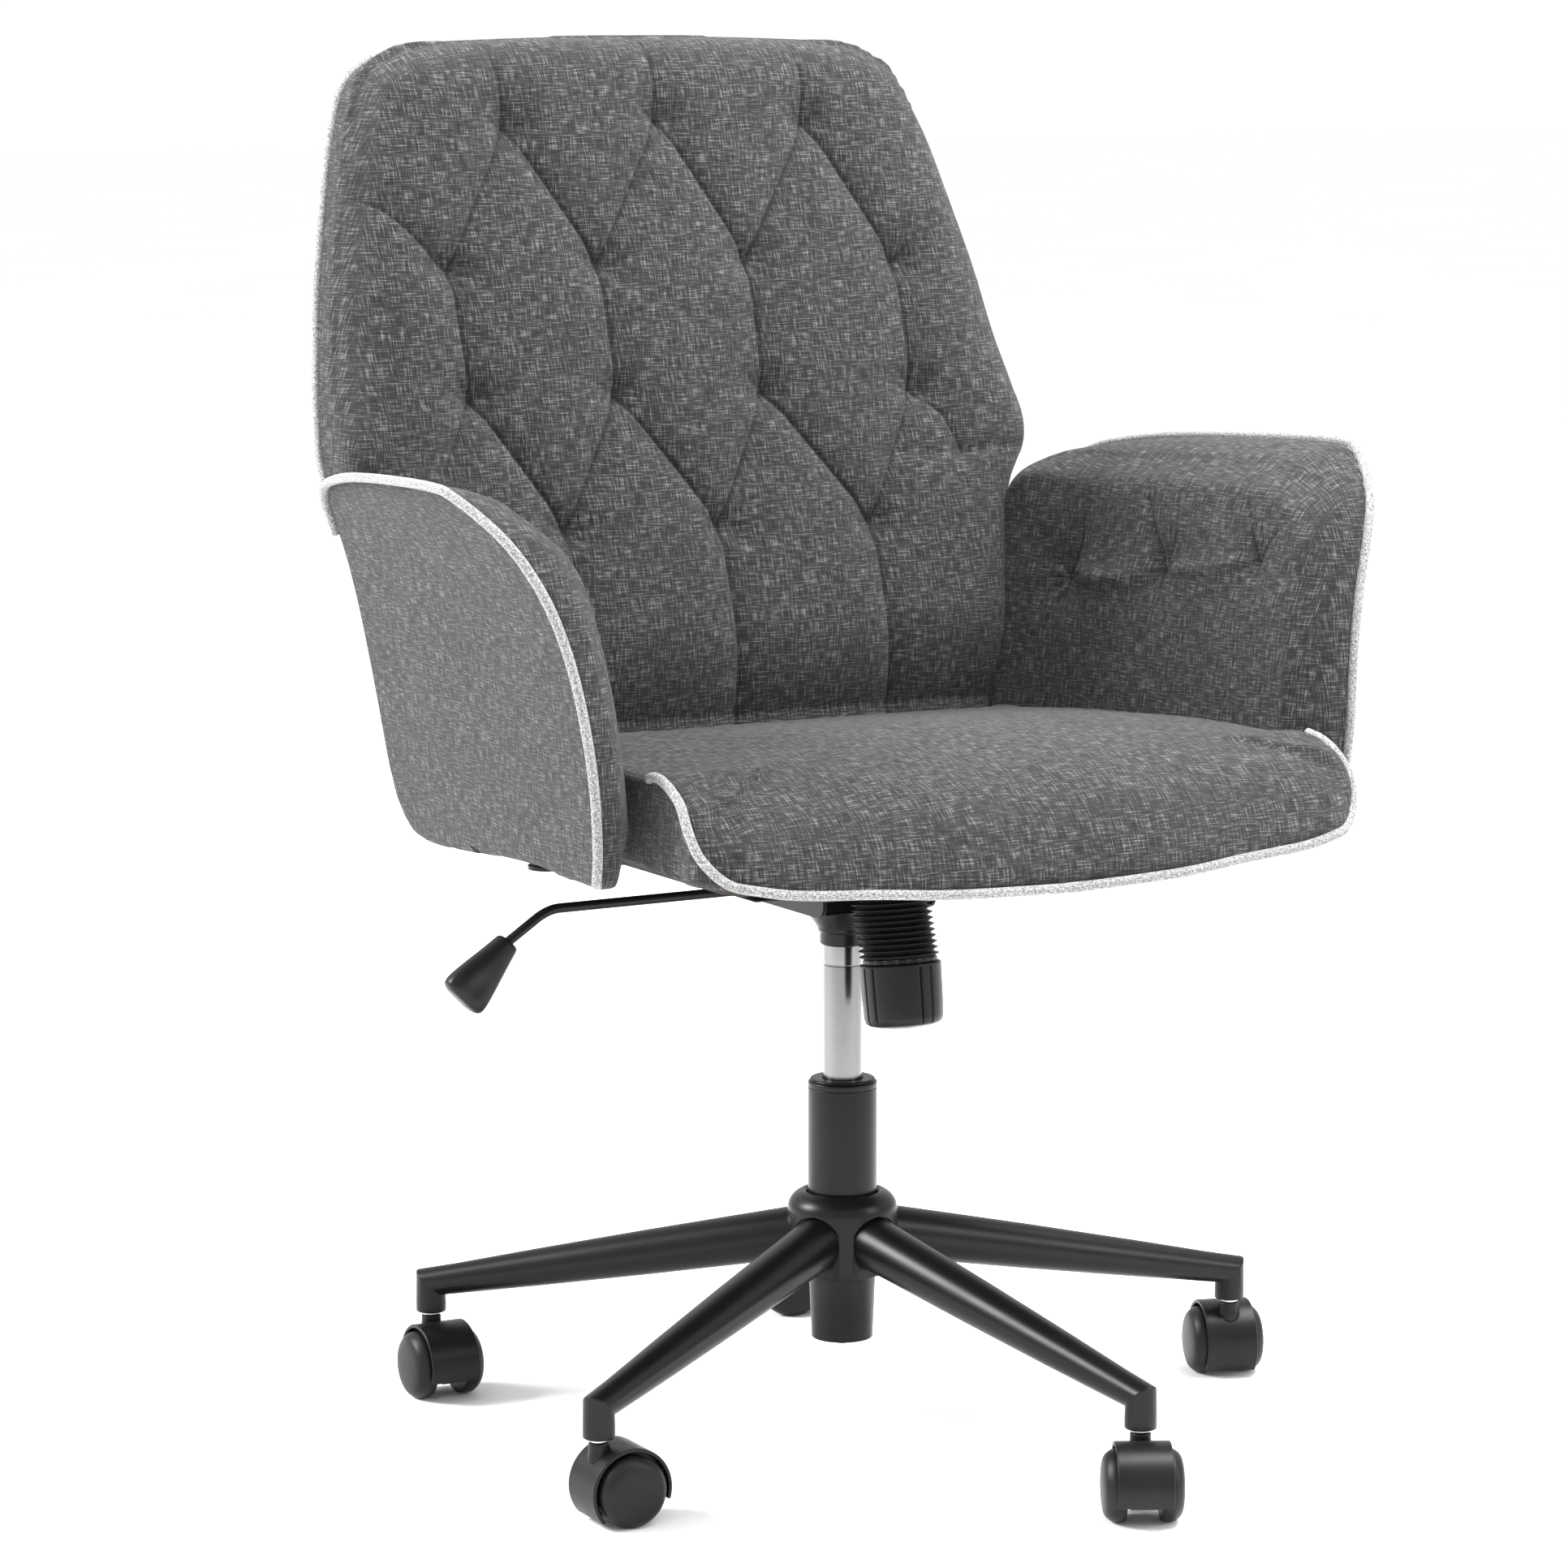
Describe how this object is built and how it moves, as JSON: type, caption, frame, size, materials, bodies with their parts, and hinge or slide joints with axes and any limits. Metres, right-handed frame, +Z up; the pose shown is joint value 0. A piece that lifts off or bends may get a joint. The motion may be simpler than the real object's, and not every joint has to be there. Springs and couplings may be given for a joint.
{
  "type": "swivel office chair",
  "caption": "Upholstered swivel office chair with a tufted back, flared padded arms, a tilt mechanism, gas lift and a steel star base on twin-wheel castors.",
  "frame": {"origin": "on the floor, on the column's axis", "axes": "+Z up along the column; -Y the way the sitter faces; +X to the sitter's left"},
  "size_m": [0.7296, 0.7194, 0.9985],
  "materials": {
    "coated_steel": "satin powder coat",
    "bright_steel": "drawn bright steel",
    "spring_steel": "dull grey steel",
    "black_plastic": "fine-grained matte",
    "bellows_rubber": "satin pleated rubber",
    "linen": "dark grey melange linen weave, light grey piping",
    "plywood": "bare plywood",
    "dust_cloth": "black non-woven"
  },
  "bodies": {
    "base": {"base_hub": "coated_steel", "leg_1": "coated_steel", "leg_2": "coated_steel", "leg_3": "coated_steel", "leg_4": "coated_steel", "leg_5": "coated_steel", "column_tube": "coated_steel", "column_bush": "black_plastic", "thrust_bearing": "spring_steel", "castor_1_stem": "bright_steel", "castor_2_stem": "bright_steel", "castor_3_stem": "bright_steel", "castor_4_stem": "bright_steel", "castor_5_stem": "bright_steel"},
    "spindle": {"gas_rod": "spring_steel"},
    "lift": {"gas_cylinder": "bright_steel", "tilt_housing": "coated_steel", "pivot_pin": "bright_steel", "tension_spring": "spring_steel", "tension_bellows": "bellows_rubber"},
    "valve": {"valve_button": "black_plastic"},
    "slider": {"lock_slider": "spring_steel"},
    "lever": {"lever_rod": "coated_steel", "lever_grip": "black_plastic"},
    "seat": {"seat_plate": "coated_steel", "tension_bolt": "bright_steel", "seat_board": "plywood", "seat_cushion": "linen", "dust_cover": "dust_cloth", "back_bracket": "coated_steel", "back_shell": "linen", "back_cushion": "linen", "arm_pad_left": "linen", "arm_pad_right": "linen", "arm_bracket_left": "coated_steel", "arm_bracket_right": "coated_steel"},
    "washer": {"spring_washer": "spring_steel"},
    "knob": {"tension_knob": "black_plastic"},
    "castor_1": {"castor_1_hood": "black_plastic", "castor_1_axle": "bright_steel"},
    "castor_1_left": {"castor_1_wheel_left": "black_plastic"},
    "castor_1_right": {"castor_1_wheel_right": "black_plastic"},
    "castor_2": {"castor_2_hood": "black_plastic", "castor_2_axle": "bright_steel"},
    "castor_2_left": {"castor_2_wheel_left": "black_plastic"},
    "castor_2_right": {"castor_2_wheel_right": "black_plastic"},
    "castor_3": {"castor_3_hood": "black_plastic", "castor_3_axle": "bright_steel"},
    "castor_3_left": {"castor_3_wheel_left": "black_plastic"},
    "castor_3_right": {"castor_3_wheel_right": "black_plastic"},
    "castor_4": {"castor_4_hood": "black_plastic", "castor_4_axle": "bright_steel"},
    "castor_4_left": {"castor_4_wheel_left": "black_plastic"},
    "castor_4_right": {"castor_4_wheel_right": "black_plastic"},
    "castor_5": {"castor_5_hood": "black_plastic", "castor_5_axle": "bright_steel"},
    "castor_5_left": {"castor_5_wheel_left": "black_plastic"},
    "castor_5_right": {"castor_5_wheel_right": "black_plastic"}
  },
  "joints": [
    {"name": "castor_1_swivel", "type": "hinge", "parent": "base", "child": "castor_1", "pos_m": [0.05309, -0.30897, 0.05], "axis": [0, 0, 1], "continuous": true},
    {"name": "castor_1_roll_left", "type": "hinge", "parent": "castor_1", "child": "castor_1_left", "pos_m": [0.04558, -0.3231, 0.02479], "axis": [0.8829, -0.4695, 0], "continuous": true},
    {"name": "castor_1_roll_right", "type": "hinge", "parent": "castor_1", "child": "castor_1_right", "pos_m": [0.04558, -0.3231, 0.02479], "axis": [0.8829, -0.4695, 0], "continuous": true},
    {"name": "castor_2_swivel", "type": "hinge", "parent": "base", "child": "castor_2", "pos_m": [0.31026, -0.04498, 0.05], "axis": [0, 0, 1], "continuous": true},
    {"name": "castor_2_roll_left", "type": "hinge", "parent": "castor_2", "child": "castor_2_left", "pos_m": [0.31546, -0.02986, 0.02479], "axis": [-0.9455, 0.3256, 0], "continuous": true},
    {"name": "castor_2_roll_right", "type": "hinge", "parent": "castor_2", "child": "castor_2_right", "pos_m": [0.31546, -0.02986, 0.02479], "axis": [-0.9455, 0.3256, 0], "continuous": true},
    {"name": "castor_3_swivel", "type": "hinge", "parent": "base", "child": "castor_3", "pos_m": [0.13866, 0.28117, 0.05], "axis": [0, 0, 1], "continuous": true},
    {"name": "castor_3_roll_left", "type": "hinge", "parent": "castor_3", "child": "castor_3_left", "pos_m": [0.1248, 0.28917, 0.02479], "axis": [-0.5, -0.866, 0], "continuous": true},
    {"name": "castor_3_roll_right", "type": "hinge", "parent": "castor_3", "child": "castor_3_right", "pos_m": [0.1248, 0.28917, 0.02479], "axis": [-0.5, -0.866, 0], "continuous": true},
    {"name": "castor_4_swivel", "type": "hinge", "parent": "base", "child": "castor_4", "pos_m": [-0.22456, 0.21876, 0.05], "axis": [0, 0, 1], "continuous": true},
    {"name": "castor_4_roll_left", "type": "hinge", "parent": "castor_4", "child": "castor_4_left", "pos_m": [-0.22512, 0.20277, 0.02479], "axis": [0.9994, -0.0349, 0], "continuous": true},
    {"name": "castor_4_roll_right", "type": "hinge", "parent": "castor_4", "child": "castor_4_right", "pos_m": [-0.22512, 0.20277, 0.02479], "axis": [0.9994, -0.0349, 0], "continuous": true},
    {"name": "castor_5_swivel", "type": "hinge", "parent": "base", "child": "castor_5", "pos_m": [-0.27744, -0.14597, 0.05], "axis": [0, 0, 1], "continuous": true},
    {"name": "castor_5_roll_left", "type": "hinge", "parent": "castor_5", "child": "castor_5_left", "pos_m": [-0.26145, -0.14625, 0.02479], "axis": [0.0175, 0.9998, 0], "continuous": true},
    {"name": "castor_5_roll_right", "type": "hinge", "parent": "castor_5", "child": "castor_5_right", "pos_m": [-0.26145, -0.14625, 0.02479], "axis": [0.0175, 0.9998, 0], "continuous": true},
    {"name": "column_swivel", "type": "hinge", "parent": "base", "child": "spindle", "pos_m": [0, 0, 0.07], "axis": [0, 0, 1], "continuous": true},
    {"name": "gas_lift", "type": "slide", "parent": "spindle", "child": "lift", "axis": [0, 0, 1], "range_m": [-0.09, 0]},
    {"name": "seat_tilt", "type": "hinge", "parent": "lift", "child": "seat", "pos_m": [0, 0.035, 0.399], "axis": [-1, 0, 0], "range_deg": [0, 12], "stiffness_Nm_per_rad": 200, "springref_deg": -11.46, "deforming": ["tension_spring", "tension_bellows"]},
    {"name": "lock_pull", "type": "slide", "parent": "lift", "child": "slider", "axis": [-1, 0, 0], "range_m": [0, 0.01]},
    {"name": "lever_lift", "type": "hinge", "parent": "slider", "child": "lever", "pos_m": [-0.022, 0, 0.397], "axis": [0, 1, 0], "range_deg": [0, 7], "stiffness_Nm_per_rad": 1.5, "springref_deg": -9.74},
    {"name": "valve_press", "type": "slide", "parent": "lift", "child": "valve", "axis": [0, 0, -1], "range_m": [0, 0.0046]},
    {"name": "tension_travel", "type": "slide", "parent": "seat", "child": "washer", "axis": [0, 0.1392, 0.9903], "range_m": [-0.0033, 0.0033]},
    {"name": "tension_turn", "type": "hinge", "parent": "washer", "child": "knob", "pos_m": [0, -0.0725, 0.399], "axis": [0, 0.1392, 0.9903], "range_deg": [-720, 720]}
  ],
  "couplings": [
    {"joint": "valve_press", "follows": "lever_lift", "m_per_rad": 0.0365},
    {"joint": "tension_travel", "follows": "tension_turn", "m_per_rad": 0.000239}
  ]
}
